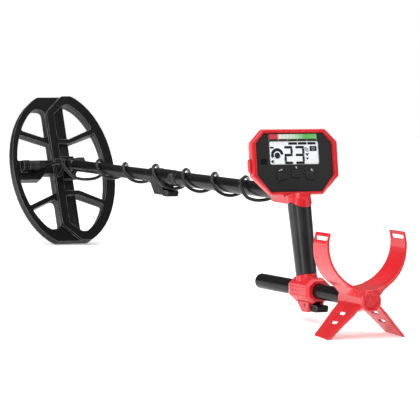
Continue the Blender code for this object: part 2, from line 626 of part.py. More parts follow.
def build_pod(pod_frame, door_frame, mats):
    red, black, clear, grey, green, rubber, steel, cell_grey = mats
    build_pod_shell(pod_frame, red)

    low, high = WINDOW_HEIGHTS
    window = [(-WINDOW_HALF, low), (WINDOW_HALF, low), (WINDOW_HALF, high), (-WINDOW_HALF, high)]
    holes = [rounded(window, 0.0025)]
    holes += [button_outline(y, z, turn, BUTTON_GAP) for _, y, z, turn in BUTTONS]
    panel = prism(panel_outline(0.0), PANEL_FRONT, PANEL_BACK, "X", holes)
    add_object("face_panel", panel, black, pod_frame)
    half = WINDOW_HALF - GAP
    lens = [(-half, low + GAP), (half, low + GAP), (half, high - GAP), (-half, high - GAP)]
    lens_solid = prism(rounded(lens, 0.0023), PANEL_FRONT, PANEL_BACK - GAP, "X")
    add_object("display_lens", lens_solid, clear, pod_frame)
    gasket = prism(panel_outline(0.0003), PANEL_BACK + GAP, 0.0064, "X", [panel_outline(0.0020)])
    add_object("face_gasket", gasket, rubber, pod_frame)
    add_object("lcd_module", block((0.0056, 0.0090), (-0.0430, 0.0430), (0.0040, 0.0460)), grey, pod_frame)
    keypad = block((KEYPAD_FRONT, 0.0075), (-0.0330, 0.0315), (-0.0170, 0.0020))
    add_object("keypad", keypad, rubber, pod_frame)
    for name, y, z, turn in BUTTONS:
        sections = []
        face = PANEL_FRONT - BUTTON_RISE
        for x, scale in ((face, 0.86), (face + 0.0008, 1.0), (PANEL_BACK + 0.0002, 1.0)):
            sections.append([(x, a, b) for a, b in button_outline(0.0, 0.0, turn, scale=scale)])
        add_object(f"button_{name}", loft(sections), rubber, pod_frame, (0.0, y, z))
    power = rounded([(0.0050, -0.0030), (0.0120, -0.0030), (0.0120, 0.0170), (0.0050, 0.0170)], 0.0030)
    centre_x = 0.0085
    centre_z = 0.0070
    outline = [(a - centre_x, b - centre_z) for a, b in power]
    sections = []
    for y, scale in ((-0.0050, 1.0), (0.0028, 1.0), (0.0042, 0.72)):
        sections.append([(scale * a, y, scale * b) for a, b in outline])
    add_object("power_button", loft(sections), red, pod_frame, (centre_x, 0.0675, centre_z))

    board = block((0.0112, 0.0128), (-0.0500, 0.0500), (-0.0090, 0.0450))
    add_object("circuit_board", board, green, pod_frame)
    add_object("speaker", rod(0.0095, 0.0160, 0.0210, "X", 20, (-0.0450, 0.0180)), black, pod_frame)

    tray_x = (0.0150, 0.0325)
    tray = add_object("battery_tray", block(tray_x, (-0.0312, 0.0312), (-0.0060, 0.0470)), black, pod_frame)
    pocket = block((tray_x[0] + 0.0012, tray_x[1] + 0.001), (-0.0298, 0.0298), (-0.0054, 0.0462))
    combine(tray, pocket, "DIFFERENCE")
    for i in range(4):
        y = (i - 1.5) * CELL_PITCH
        foot = -0.0050
        nub = CELL_LENGTH - 0.0010
        profile = [(0.0, foot), (CELL_R, foot), (CELL_R, foot + nub), (0.0028, foot + nub)]
        profile += [(0.0028, foot + CELL_LENGTH), (0.0, foot + CELL_LENGTH)]
        cell = turned(profile, "Z", 16, (CELL_X, y))
        add_object(f"battery_cell_{i + 1}", cell, cell_grey, pod_frame)
    door_low = -0.0037 - 0.0437
    add_object("battery_door", block((-0.0024, 0.0), (-0.0322, 0.0322), (door_low, 0.0)), red, door_frame)

    socket = [(0.0, 0.0300), (0.0058, 0.0300), (0.0058, POD_DEPTH + GAP), (0.0082, POD_DEPTH + GAP)]
    socket += [(0.0082, SOCKET_END), (0.0, SOCKET_END)]
    add_object("cable_socket", turned(socket, "X", 20, SOCKET_PLACE), steel, pod_frame)
    jack = [(0.0, 0.0300), (0.0038, 0.0300), (0.0038, POD_DEPTH + GAP), (0.0056, POD_DEPTH + GAP)]
    jack += [(0.0056, 0.0418), (0.0018, 0.0418), (0.0018, 0.0330), (0.0, 0.0330)]
    add_object("headphone_socket", turned(jack, "X", 16, JACK_PLACE), black, pod_frame)
    start = SOCKET_END + GAP
    plug = [(0.0, start), (0.0078, start), (0.0078, start + 0.0120), (0.0068, start + 0.0130)]
    plug += [(0.0068, start + 0.0200), (0.0045, start + 0.0230), (0.0038, start + PLUG_LENGTH)]
    plug += [(0.0, start + PLUG_LENGTH)]
    add_object("cable_plug", turned(plug, "X", 20, SOCKET_PLACE), black, pod_frame)
    head = POD_DEPTH + GAP
    for i, (y, z) in enumerate(CASE_SCREWS):
        screw = [(0.0, 0.0150), (0.0014, 0.0150), (0.0014, head), (0.0029, head), (0.0026, head + 0.0015)]
        screw += [(0.0, head + 0.0015)]
        add_object(f"case_screw_{i + 1}", turned(screw, "X", 12, (y, z)), steel, pod_frame)


def tongue(radius, thickness, top, drop):
    """The collar's flap over the rear of the grip: a curved strip with a rounded V for a lower edge."""
    sections = []
    for i in range(17):
        turn = -70.0 + 140.0 * i / 16
        low = top - drop * math.cos(math.radians(turn * 90.0 / 74.0)) ** 0.8
        section = []
        for r, z in ((radius, low), (radius + thickness, low), (radius + thickness, top), (radius, top)):
            angle = math.radians(180.0 + turn)
            section.append((r * math.cos(angle), r * math.sin(angle), z))
        sections.append(section)
    return loft(sections)


def build_handle(upper_frame, grip_frame, red, foam):
    """The red core carries the main tube's end and the pod, and runs down inside the grip."""
    top = GRIP_LENGTH + 0.0010
    post = [(0.0, -0.0050), (CORE_R, -0.0050), (CORE_R, top + GAP), (GRIP_R + 0.0006, top + GAP)]
    post += [(GRIP_R + 0.0008, top + 0.0112), (GRIP_R - 0.0006, top + 0.0120), (0.0, top + 0.0120)]
    core = add_object("handle_core", turned(post, "Z", TUBE_SEGMENTS), red, grip_frame)
    flap = tongue(GRIP_R + GAP, 0.0009, top + 0.004, 0.0134)
    combine(core, flap, "UNION", parent=grip_frame)
    web = [(0.1880, -0.0145), (0.2420, -0.0135), (0.2420, 0.0), (0.2030, 0.0), (0.1985, -0.0036)]
    web += [(0.1900, -0.0040)]
    combine(core, prism(web, -0.0135, 0.0135, "Y"), "UNION", parent=upper_frame)
    combine(core, rod(0.0150, 0.2028, 0.2460, "X"), "UNION", parent=upper_frame)
    combine(core, block((0.2060, 0.2280), (-0.0100, 0.0100), (0.0100, 0.0166)), "UNION", parent=upper_frame)
    bore = rod(UPPER_R + GAP, UPPER_START - GAP, 0.2600, "X", TUBE_SEGMENTS)
    combine(core, bore, "DIFFERENCE", parent=upper_frame)
    grip_room = pipe(GRIP_R + GAP, CORE_R + 0.0001, 0.0600, top + GAP, "Z", TUBE_SEGMENTS)
    combine(core, grip_room, "DIFFERENCE", parent=grip_frame)
    inner = CORE_R + GAP
    sleeve = [(inner, 0.0010), (GRIP_FOOT_R - 0.0010, 0.0010), (GRIP_FOOT_R, 0.0025)]
    sleeve += [(GRIP_R, top - 0.0015), (GRIP_R - 0.0010, top), (inner, top)]
    add_object("grip_sleeve", turned(sleeve, "Z", TUBE_SEGMENTS), foam, grip_frame)


# ---------------------------------------------------------------- armrest

def strip(stations):
    """A curved strip: each station gives the (y, h) of its two faces and its half width along X."""
    sections = []
    for near, far, half in stations:
        sections.append([(-half, *near), (-half, *far), (half, *far), (half, *near)])
    return loft(sections)


def arm_stations():
    """The open U over the hub, from tip to tip, widening along X towards the hub."""
    centre = (0.0, ARM_CENTRE_H)
    tip = math.degrees(math.asin((ARM_TIP_H - ARM_CENTRE_H) / ARM_OUTER_R))
    steps = 30
    outer = arc(centre, ARM_OUTER_R, tip, -180.0 - tip, steps)
    inner = arc(centre, ARM_OUTER_R - ARM_WALL, tip, -180.0 - tip, steps)
    stations = []
    for i, (near, far) in enumerate(zip(inner, outer)):
        share = 1.0 - abs(2.0 * i / steps - 1.0)
        stations.append((near, far, TIP_HALF + (HUB_HALF - 0.001 - TIP_HALF) * share ** 1.5))
    return stations


def leg_stations(side, floor_height):
    """One straight leg, running on below the floor, where it is cut off level later."""
    start = (0.0115, -0.0045)
    end = (LEG_FOOT_Y, floor_height)
    slope = math.atan2(start[1] - end[1], end[0] - start[0])
    across = (LEG_WALL / 2 * math.sin(slope), LEG_WALL / 2 * math.cos(slope))
    stations = []
    halves = ((0.0, HUB_HALF - 0.002), (0.25, 0.0320), (0.6, 0.0265), (1.0, FOOT_HALF), (1.12, FOOT_HALF))
    for share, half in halves:
        y = start[0] + (end[0] - start[0]) * share
        h = start[1] + (end[1] - start[1]) * share
        under = (side * (y - across[0]), h - across[1])
        over = (side * (y + across[0]), h + across[1])
        stations.append((under, over, half))
    return stations


def build_armrest(arm_frame, level_frame, floor_height, red, tube_black, rubber, steel):
    """The U, the legs and the hub are one moulding; the legs end on the floor plane."""
    armrest = add_object("armrest", strip(arm_stations()), red, arm_frame)
    for side in (-1, 1):
        combine(armrest, strip(leg_stations(side, floor_height)), "UNION")
        fillet = [(side * 0.0080, 0.0040), (side * 0.0145, 0.0040), (side * 0.0300, 0.0212)]
        fillet += [(side * 0.0120, 0.0148)]
        combine(armrest, prism(fillet, -0.031, 0.031, "X"), "UNION")
    combine(armrest, rod(HUB_R, -HUB_HALF, HUB_HALF, "X", TUBE_SEGMENTS), "UNION")
    tube_room = rod(ARM_TUBE_R + GAP, ARM_TUBE_START - GAP, 0.060, "X", TUBE_SEGMENTS)
    combine(armrest, tube_room, "DIFFERENCE")
    dish = rod(0.0120, -HUB_HALF - 0.001, -HUB_HALF + 0.0042, "X", TUBE_SEGMENTS)
    combine(armrest, dish, "DIFFERENCE")
    floor = block((HUB_X - 0.060, HUB_X + 0.060), (-0.080, 0.080), (-0.020, 0.0))
    combine(armrest, floor, "DIFFERENCE", parent=level_frame)
    for side in (-1, 1):
        ends = sorted((side * 0.050, side * 0.068))
        combine(armrest, block((-0.0170, 0.0170), ends, (0.0822, 0.0872)), "DIFFERENCE")
        for height in (-0.0190, -0.0310):
            slot_y = 0.0100 - 1.0 * height
            ends = sorted((side * (slot_y - 0.012), side * (slot_y + 0.012)))
            leg_slot = block((-0.0095, 0.0095), ends, (height - 0.0017, height + 0.0017))
            combine(armrest, leg_slot, "DIFFERENCE")
    screw_hole = rod(0.0022, -0.020, -0.005, "Z", 12)
    combine(armrest, screw_hole, "DIFFERENCE")

    arm_tube = pipe(ARM_TUBE_R, ARM_TUBE_BORE, ARM_TUBE_START, ARM_TUBE_END, "X", TUBE_SEGMENTS)
    tube = add_object("armrest_tube", arm_tube, tube_black, arm_frame)
    combine(tube, rod(0.0019, -0.020, -0.005, "Z", 12), "DIFFERENCE")
    plug_r = ARM_TUBE_BORE - GAP
    cap = [(0.0, ARM_TUBE_END - 0.014), (plug_r, ARM_TUBE_END - 0.014), (plug_r, ARM_TUBE_END + GAP)]
    cap += [(ARM_TUBE_R, ARM_TUBE_END + GAP), (ARM_TUBE_R, ARM_TUBE_END + 0.0018)]
    cap += [(ARM_TUBE_R - 0.0018, ARM_TUBE_END + 0.0034), (0.0, ARM_TUBE_END + 0.0034)]
    add_object("tube_end_cap", turned(cap, "X"), rubber, arm_frame)
    screw = [(0.0, -0.0082), (0.0016, -0.0082), (0.0016, -HUB_R - GAP - 0.0004)]
    screw += [(0.0036, -HUB_R - GAP - 0.0004), (0.0032, -HUB_R - 0.0024), (0.0, -HUB_R - 0.0024)]
    add_object("armrest_screw", turned(screw, "Z", 12), steel, arm_frame)


# ---------------------------------------------------------------- cable

def smooth_route(points, steps):
    """A Catmull-Rom curve through the points, with a number of steps between neighbours."""
    padded = [points[0] * 2 - points[1]] + list(points) + [points[-1] * 2 - points[-2]]
    route = []
    for i in range(1, len(padded) - 2):
        a, b, c, d = padded[i - 1:i + 3]
        for k in range(steps):
            t = k / steps
            route.append(0.5 * (2 * b + (c - a) * t + (2 * a - 5 * b + 4 * c - d) * t ** 2
                                + (3 * b - a - 3 * c + d) * t ** 3))
    route.append(points[-1])
    return route


def wrap_route():
    """Turns round the main tube, from the first top to the last one, in the shaft frame."""
    route = []
    for turn in range(len(WRAP_TOPS) - 1):
        for k in range(POINTS_PER_TURN):
            route.append(wrap_point(turn, k / POINTS_PER_TURN))
    route.append(wrap_point(len(WRAP_TOPS) - 1, 0.0))
    return route


def wrap_point(turn, part):
    after = min(turn + 1, len(WRAP_TOPS) - 1)
    angle = 2.0 * math.pi * part
    swing = (1.0 - math.cos(angle)) / 2.0
    ahead = part + TURN_SWEEPS[turn] * swing
    s = WRAP_TOPS[turn] + (WRAP_TOPS[after] - WRAP_TOPS[turn]) * ahead
    near_top = TOP_RADII[turn] if part < 0.5 else TOP_RADII[after]
    radius = near_top * (1.0 - swing) + BOTTOM_RADII[turn] * swing
    return Vector((s, radius * math.sin(angle), MAIN_AXIS_H + radius * math.cos(angle)))


def add_cable(name, points, mat, parent):
    curve = bpy.data.curves.new(name, "CURVE")
    curve.dimensions = "3D"
    curve.bevel_depth = CABLE_R
    curve.bevel_resolution = 2
    curve.use_fill_caps = True
    spline = curve.splines.new("POLY")
    spline.points.add(len(points) - 1)
    for target, point in zip(spline.points, points):
        target.co = (*point, 1.0)
    curve.materials.append(mat)
    obj = bpy.data.objects.new(name, curve)
    bpy.context.scene.collection.objects.link(obj)
    obj.parent = parent
    return obj


def build_cable(root_frame, coil_frame, pod_frame, rubber):
    """Three stretches in the shaft frame: coil lead, turns on the shaft, tail to the pod's plug."""
    bpy.context.view_layer.update()
    to_shaft = root_frame.matrix_world.inverted()
    from_coil = to_shaft @ coil_frame.matrix_world
    from_pod = to_shaft @ pod_frame.matrix_world
    wraps = wrap_route()
    add_cable("cable_wraps", wraps, rubber, root_frame)

    # Both neighbours meet the turns face to face, along the turns' own direction
    first_way = (wraps[1] - wraps[0]).normalized()
    last_way = (wraps[-1] - wraps[-2]).normalized()
    exit_start = from_coil @ Vector((GLAND_X, GLAND_Y - GLAND_LENGTH - GAP, GLAND_Z))
    exit_end = from_coil @ Vector((GLAND_X, GLAND_Y - GLAND_LENGTH - 0.006, GLAND_Z))
    lead = [exit_end] + [Vector(point) for point in LEAD_POINTS] + [wraps[0] - first_way * 0.006]
    lead_route = [exit_start] + smooth_route(lead, 4) + [wraps[0] - first_way * GAP]
    add_cable("cable_coil_lead", lead_route, rubber, root_frame)

    plug_end = SOCKET_END + GAP + PLUG_LENGTH
    entry_start = from_pod @ Vector((plug_end + 0.008, *SOCKET_PLACE))
    entry_end = from_pod @ Vector((plug_end + GAP, *SOCKET_PLACE))
    tail = [wraps[-1] + last_way * 0.006] + [Vector(point) for point in TAIL_POINTS] + [entry_start]
    tail_route = [wraps[-1] + last_way * GAP] + smooth_route(tail, 4) + [entry_end]
    add_cable("cable_tail", tail_route, rubber, root_frame)



# ---------------------------------------------------------------- assembly

def main():
    clear_scene()
    black = material("moulded_black", (0.020, 0.020, 0.022), 0.45)
    tube_black = material("tube_black", (0.016, 0.016, 0.018), 0.35)
    red = material("moulded_red", (0.68, 0.022, 0.032), 0.35)
    rubber = material("rubber_black", (0.012, 0.012, 0.013), 0.75)
    foam = material("grip_black", (0.020, 0.020, 0.021), 0.60)
    copper = material("winding_copper", (0.72, 0.33, 0.16), 0.35, 1.0)
    steel = material("steel", (0.55, 0.55, 0.57), 0.30, 1.0)
    clear = material("lens_clear", (0.75, 0.77, 0.80), 0.08)
    grey = material("lcd_grey", (0.55, 0.57, 0.58), 0.40)
    green = material("board_green", (0.02, 0.16, 0.06), 0.45)
    cell_grey = material("cell_grey", (0.35, 0.36, 0.38), 0.35, 0.6)

    pitch = math.radians(SHAFT_PITCH)
    coil_lean = math.radians(COIL_LEAN)
    rim_depth = COIL_LOWER_X + GAP + SKID_THICKNESS
    hinge_height = COIL_HALF_LENGTH * math.cos(coil_lean) + rim_depth * math.sin(coil_lean)
    axis_height = hinge_height + HINGE_S * math.sin(pitch) - MAIN_AXIS_H * math.cos(pitch)
    floor_height = -axis_height / math.cos(pitch)

    root_frame = make_frame("shaft_frame", None, (HUB_X, 0.0, axis_height), SHAFT_PITCH)
    upper_frame = make_frame("upper_frame", root_frame, (0.0, 0.0, MAIN_AXIS_H))
    lower_frame = make_frame("lower_frame", root_frame, (HINGE_S, 0.0, MAIN_AXIS_H))
    coil_frame = make_frame("coil_frame", lower_frame, (0.0, 0.0, 0.0), COIL_LEAN - SHAFT_PITCH)
    pod_frame = make_frame("pod_frame", root_frame, (POD_S, 0.0, POD_H), POD_LEAN)
    door_frame = make_frame("door_frame", pod_frame, (POD_DEPTH, 0.0, 0.0437))
    grip_frame = make_frame("grip_frame", root_frame, (GRIP_S, 0.0, GRIP_H), GRIP_LEAN)
    front_pin = (FRONT_PIN_S, 0.0, MAIN_AXIS_H - PIN_DROP)
    front_lever_frame = make_frame("front_lever_frame", root_frame, front_pin)
    rear_lever_frame = make_frame("rear_lever_frame", root_frame, (REAR_PIN_S, 0.0, -PIN_DROP))
    arm_frame = make_frame("arm_frame", root_frame, (0.0, 0.0, 0.0))
    level_frame = make_frame("level_frame", None, (0.0, 0.0, 0.0))

    build_coil(coil_frame, black, copper, rubber)
    build_shaft(lower_frame, upper_frame, black, tube_black, rubber)
    build_front_clamp(upper_frame, front_lever_frame, black, steel)
    build_rear_clamp(root_frame, grip_frame, rear_lever_frame, red, black, steel)
    build_pod(pod_frame, door_frame, (red, black, clear, grey, green, rubber, steel, cell_grey))
    build_handle(upper_frame, grip_frame, red, foam)
    build_armrest(arm_frame, level_frame, floor_height, red, tube_black, rubber, steel)
    build_cable(root_frame, coil_frame, pod_frame, rubber)


main()
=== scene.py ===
"""A handheld metal detector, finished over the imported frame.

Units are metres in the row frame: +X points to the search coil, +Y to the user's left and +Z up. The
frame's own nodes give every body, joint and overall size. Each visible node is replaced by a finer copy
with rounded edges and a node material, the cable is swept again as round tubing, and the display gets its
printed strips and its segments.
"""
import json
import math

import bmesh
import bpy
from mathutils import Matrix, Vector


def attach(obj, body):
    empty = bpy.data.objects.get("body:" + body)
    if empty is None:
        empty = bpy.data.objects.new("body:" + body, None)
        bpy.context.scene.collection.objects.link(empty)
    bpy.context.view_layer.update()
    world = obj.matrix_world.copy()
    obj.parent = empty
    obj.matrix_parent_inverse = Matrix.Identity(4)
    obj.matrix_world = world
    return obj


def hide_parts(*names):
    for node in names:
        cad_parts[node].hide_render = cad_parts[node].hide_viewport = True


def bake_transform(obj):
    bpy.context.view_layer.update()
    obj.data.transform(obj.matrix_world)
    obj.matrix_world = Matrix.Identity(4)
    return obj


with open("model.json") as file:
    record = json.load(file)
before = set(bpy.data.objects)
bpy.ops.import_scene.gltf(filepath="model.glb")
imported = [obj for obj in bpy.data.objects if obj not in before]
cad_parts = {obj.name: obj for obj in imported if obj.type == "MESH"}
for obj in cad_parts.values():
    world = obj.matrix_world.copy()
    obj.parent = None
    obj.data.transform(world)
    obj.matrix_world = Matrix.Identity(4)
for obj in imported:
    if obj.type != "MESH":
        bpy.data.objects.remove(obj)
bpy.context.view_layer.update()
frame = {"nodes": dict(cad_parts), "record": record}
BODY_OF = {node: body for body, nodes in frame["record"]["behaviour"]["bodies"].items() for node in nodes}
SLOT_OF = {}


def leaning(origin, degrees):
    """A frame at origin whose Z axis leans forward by the given angle."""
    return Matrix.Translation(origin) @ Matrix.Rotation(math.radians(degrees), 4, "Y")


SHAFT = leaning((-0.5366, 0.0, 0.050739), 3.0)
COIL = leaning((0.487349, 0.0, 0.129958), 25.0)
POD = leaning((-0.335645, 0.0, 0.207036), 12.0)

# Camera
CAMERA_PLACE = (-4.2913, 2.0420, 0.6490)
CAMERA_TURN = 25.75             # degrees from +X towards -Y
CAMERA_DIP = 6.45
CAMERA_ROLL = 1.85
CAMERA_LENS = 270.4

# Studio: each light's name, place, aim, size and power
LIGHTS = (
    ("overhead", (0.3, 0.0, 2.6), (0.3, 0.0, 0.0), (4.4, 4.0), 108.0),
    ("key", (-1.9, 1.7, 2.2), (-0.1, 0.0, 0.12), (1.3, 0.9), 27.0),
    ("fill", (-1.7, -1.8, 0.9), (-0.1, 0.0, 0.12), (1.2, 0.9), 5.0),
    ("left", (0.6, 2.3, 0.8), (0.2, 0.0, 0.12), (0.5, 0.9), 17.0),
    ("strip", (-1.6, 1.9, 0.45), (-0.35, 0.0, 0.12), (0.22, 1.2), 9.0),
)
SURROUND_GLOW = 0.16            # of the white surround, on everything but what the camera sees directly
FLOOR_GLOW = 0.46
FLOOR_HALF = 2.1
FLOOR_DROP = 0.0004
WHITE = (1.0, 1.0, 1.0, 1.0)

# Finer copies of the frame's nodes
MERGE_DISTANCE = 0.000002
FLAT_ANGLE = 0.6                # faces that turn by less than this are one flat face
SHARP_ANGLE = 32.0              # edges that turn by more than this stay edges, and are rounded
ROUNDING_STEPS = 2

# Cable, in the shaft frame: along the shaft, to the left, above the lower tube's axis
CABLE_R = 0.0025
CABLE_SIDES = 20
MAIN_AXIS_H = 0.1327
GAP = 0.0003
WRAP_TOPS = (0.891, 0.788, 0.672, 0.561, 0.460, 0.355)
TOP_RADII = (0.0136, 0.0134, 0.0165, 0.0156, 0.0152, 0.0152)
BOTTOM_RADII = (0.0128, 0.0130, 0.0160, 0.0152, 0.0152, 0.0152)
TURN_SWEEPS = (0.0, 0.0, 0.12, 0.0, 0.0, 0.0)       # how far a turn's underside runs ahead
POINTS_PER_TURN = 36
ROUTE_STEPS = 8
STUB = 0.006                    # straight stretch at a gland or where two stretches of cable meet
PLUG_STUB = 0.008
TUBE_END_ANGLE = 60.0
GLAND_EXIT = (0.0120, 0.0370, 0.0040)       # in the coil frame
PLUG_END = (0.0773, -0.043, 0.015)          # in the pod frame
LEAD_POINTS = (
    (0.990, 0.0260, 0.1370),
    (0.972, 0.0215, 0.1260),
    (0.950, 0.0180, 0.1160),
    (0.928, 0.0100, 0.1135),
    (0.914, -0.0040, 0.1160),
    (0.905, -0.0130, 0.1245),
    (0.897, -0.0135, 0.1385),
)
TAIL_POINTS = (
    (0.340, 0.0165, 0.1400),
    (0.325, 0.0125, 0.1205),
    (0.308, -0.0030, 0.1165),
    (0.292, -0.0210, 0.1255),
    (0.284, -0.0370, 0.1480),
)

# Armrest hub: the mesh step, and the band round the tube that is smoothed
SKIN_STEP = 0.0009
HUB_BORE = 0.0135
HUB_REACH = 0.0300
SKIN_PASSES = 2
HUB_PASSES = 26

# Display, in the pod frame: (to the left, up), with X behind the face
LCD_FRONT = 0.0056
PANEL_FRONT = 0.0034
INK = 0.00012                   # thickness of a printed layer
SEGMENT_HALF = 0.0018           # half a digit stroke's width
SEGMENT_GAP = 0.0001
ACROSS_POINT = 0.0014           # how far a stroke's ends taper
UPRIGHT_POINT = 0.0001
DIGITS_LOW = 0.0108
DIGITS_HIGH = 0.0330
BARS_LOW = 0.0366
BARS_HIGH = 0.0401
BAR_SPANS = ((0.0078, -0.0061), (-0.0073, -0.0214), (-0.0227, -0.0359))
DIAL_CENTRE = (0.0262, 0.0220)
NEEDLE_CENTRE = (0.0262, 0.0215)
NEEDLE_RADIUS = 0.0043
ARROW_MIDDLE = -0.0213
HATCH_TOP = 0.0336
HATCH_STEP = 0.0022
BADGE_CENTRE = (-0.0313, 0.0309)
SCALE_LEFT = 0.0395
SCALE_RIGHT = -0.0369
SCALE_TICK_PITCH = 1150.0       # radians per metre across the scale
SCALE_TICK_SHARE = 0.22
BLOCKS_LEFT = 0.0388
BLOCK_STEP = 0.0151
BLOCK_WIDTH = 0.0139
BLOCKS_LOW = 0.0421
BLOCKS_HIGH = 0.0440
TICKS_HIGH = 0.0443
TICK_LEFT = 0.0009
TICK_RIGHT = 0.0003
CELL_BAND_LOW = 0.2420          # height of the pale band on the battery cells
CELL_BAND_HIGH = 0.2424


# ---------------------------------------------------------------- camera and light

def build_camera():
    turn = math.radians(CAMERA_TURN)
    dip = math.radians(CAMERA_DIP)
    roll = math.radians(CAMERA_ROLL)
    look = Vector((math.cos(turn) * math.cos(dip), -math.sin(turn) * math.cos(dip), -math.sin(dip)))
    level = Vector((-math.sin(turn), -math.cos(turn), 0.0))
    upright = level.cross(look)
    right = math.cos(roll) * level + math.sin(roll) * upright
    up = math.cos(roll) * upright - math.sin(roll) * level
    data = bpy.data.cameras.new("camera")
    data.lens = CAMERA_LENS
    data.clip_end = 50.0
    camera = bpy.data.objects.new("camera", data)
    bpy.context.scene.collection.objects.link(camera)
    turned = Matrix((right, up, -look)).transposed().to_4x4()
    camera.matrix_world = Matrix.Translation(CAMERA_PLACE) @ turned
    bpy.context.scene.camera = camera


def mesh_object(name, bm, material):
    """A new object in the scene from a bmesh, which is freed."""
    mesh = bpy.data.meshes.new(name)
    bm.to_mesh(mesh)
    bm.free()
    mesh.materials.append(material)
    piece = bpy.data.objects.new(name, mesh)
    bpy.context.scene.collection.objects.link(piece)
    return piece


def area_light(name, place, target, size, power):
    data = bpy.data.lights.new(name, "AREA")
    data.shape = "RECTANGLE"
    data.size = size[0]
    data.size_y = size[1]
    data.energy = power
    light = bpy.data.objects.new(name, data)
    bpy.context.scene.collection.objects.link(light)
    direction = Vector(target) - Vector(place)
    light.rotation_euler = direction.to_track_quat("-Z", "Y").to_euler()
    light.location = place


def build_studio():
    """A pale floor, a white surround and five soft lights."""
    world = bpy.data.worlds.new("studio")
    world.use_nodes = True
    tree = world.node_tree
    dim = tree.nodes["Background"]
    dim.inputs["Color"].default_value = WHITE
    dim.inputs["Strength"].default_value = SURROUND_GLOW
    white = tree.nodes.new("ShaderNodeBackground")
    white.inputs["Color"].default_value = WHITE
    rays = tree.nodes.new("ShaderNodeLightPath")
    choice = tree.nodes.new("ShaderNodeMixShader")
    tree.links.new(rays.outputs["Is Camera Ray"], choice.inputs[0])
    tree.links.new(dim.outputs[0], choice.inputs[1])
    tree.links.new(white.outputs[0], choice.inputs[2])
    tree.links.new(choice.outputs[0], tree.nodes["World Output"].inputs["Surface"])
    bpy.context.scene.world = world
    bpy.context.scene.view_settings.view_transform = "Standard"
    for light in LIGHTS:
        area_light(*light)

    bm = bmesh.new()
    bmesh.ops.create_grid(bm, x_segments=1, y_segments=1, size=FLOOR_HALF)
    floor = mesh_object("floor", bm, floor_material())
    floor.location.z = -FLOOR_DROP


# ---------------------------------------------------------------- materials

class Paint:
    """A Principled material and its node tree, with short ways to add nodes to it."""

    def __init__(self, name):
        self.material = bpy.data.materials.new(name)
        self.material.use_nodes = True
        self.tree = self.material.node_tree
        self.shader = self.tree.nodes["Principled BSDF"]
        self.place = self.add("ShaderNodeTexCoord").outputs["Object"]

    def add(self, kind, **settings):
        node = self.tree.nodes.new(kind)
        for key, value in settings.items():
            setattr(node, key, value)
        return node

    def feed(self, socket, value):
        """Links an output to the socket, or sets the socket's own value."""
        if isinstance(value, bpy.types.NodeSocket):
            self.tree.links.new(value, socket)
        else:
            socket.default_value = value

    def maths(self, operation, a, b=0.0):
        node = self.add("ShaderNodeMath", operation=operation)
        self.feed(node.inputs[0], a)
        self.feed(node.inputs[1], b)
        return node.outputs[0]

    def spread(self, value, low, high, out_low=0.0, out_high=1.0):
        node = self.add("ShaderNodeMapRange")
        self.feed(node.inputs[0], value)
        for socket, limit in zip(node.inputs[1:5], (low, high, out_low, out_high)):
            socket.default_value = limit
        return node.outputs[0]

    def noise(self, scale, detail=3.0, stretch=None, roughness=0.55):
        node = self.add("ShaderNodeTexNoise")
        place = self.place
        if stretch:
            mapping = self.add("ShaderNodeMapping")
            self.feed(mapping.inputs["Vector"], place)
            mapping.inputs["Scale"].default_value = stretch
            place = mapping.outputs[0]
        self.feed(node.inputs["Vector"], place)
        node.inputs["Scale"].default_value = scale
        node.inputs["Detail"].default_value = detail
        node.inputs["Roughness"].default_value = roughness
        return node.outputs["Fac"]

    def mix(self, share, a, b):
        node = self.add("ShaderNodeMix", data_type="RGBA")
        self.feed(node.inputs["Factor"], share)
        self.feed(node.inputs["A"], colour(a))
        self.feed(node.inputs["B"], colour(b))
        return node.outputs["Result"]

    def edges(self, radius):
        """1 along a part's edges, 0 on its flats."""
        edge_highlight_and_wear = self.add("ShaderNodeBevel", samples=6)
        edge_highlight_and_wear.inputs["Radius"].default_value = radius
        shape = self.add("ShaderNodeNewGeometry")
        along = self.add("ShaderNodeVectorMath", operation="DOT_PRODUCT")
        self.feed(along.inputs[0], edge_highlight_and_wear.outputs[0])
        self.feed(along.inputs[1], shape.outputs["Normal"])
        return self.spread(along.outputs["Value"], 0.995, 0.90)

    def bump(self, height, distance, strength=1.0, under=None):
        node = self.add("ShaderNodeBump")
        node.inputs["Strength"].default_value = strength
        node.inputs["Distance"].default_value = distance
        self.feed(node.inputs["Height"], height)
        if under is not None:
            self.feed(node.inputs["Normal"], under)
        return node.outputs[0]

    def soft_edge(self, radius):
        node = self.add("ShaderNodeBevel", samples=6)
        node.inputs["Radius"].default_value = radius
        return node.outputs[0]

    def finish(self, base, roughness, normal):
        self.feed(self.shader.inputs["Base Color"], base)
        self.feed(self.shader.inputs["Roughness"], roughness)
        self.feed(self.shader.inputs["Normal"], normal)
        return self.material


def colour(value):
    return (*value, 1.0) if isinstance(value, tuple) else value


